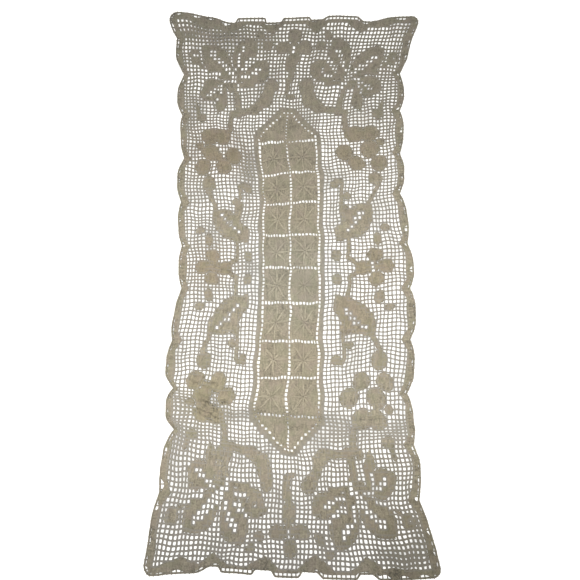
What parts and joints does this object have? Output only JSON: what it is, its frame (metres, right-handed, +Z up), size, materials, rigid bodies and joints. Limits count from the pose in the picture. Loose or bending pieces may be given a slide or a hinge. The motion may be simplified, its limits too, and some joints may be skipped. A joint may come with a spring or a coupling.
{
  "type": "filet lace table runner",
  "caption": "Flat filet crochet table runner of ecru cotton: square net ground, star panel with pointed ends, leaf and flower motifs, scalloped close-worked edge.",
  "frame": {"origin": "middle of the runner's box, on the surface that it lies on", "axes": "+Y along the length to the far end, +X across the width to the right, +Z up off the surface"},
  "size_m": [0.4592, 0.9834, 0.003],
  "materials": {
    "ecru_cotton": "matt ecru cotton thread, softly greyed with age"
  },
  "bodies": {
    "root": {"lace_runner": "ecru_cotton"}
  },
  "joints": []
}
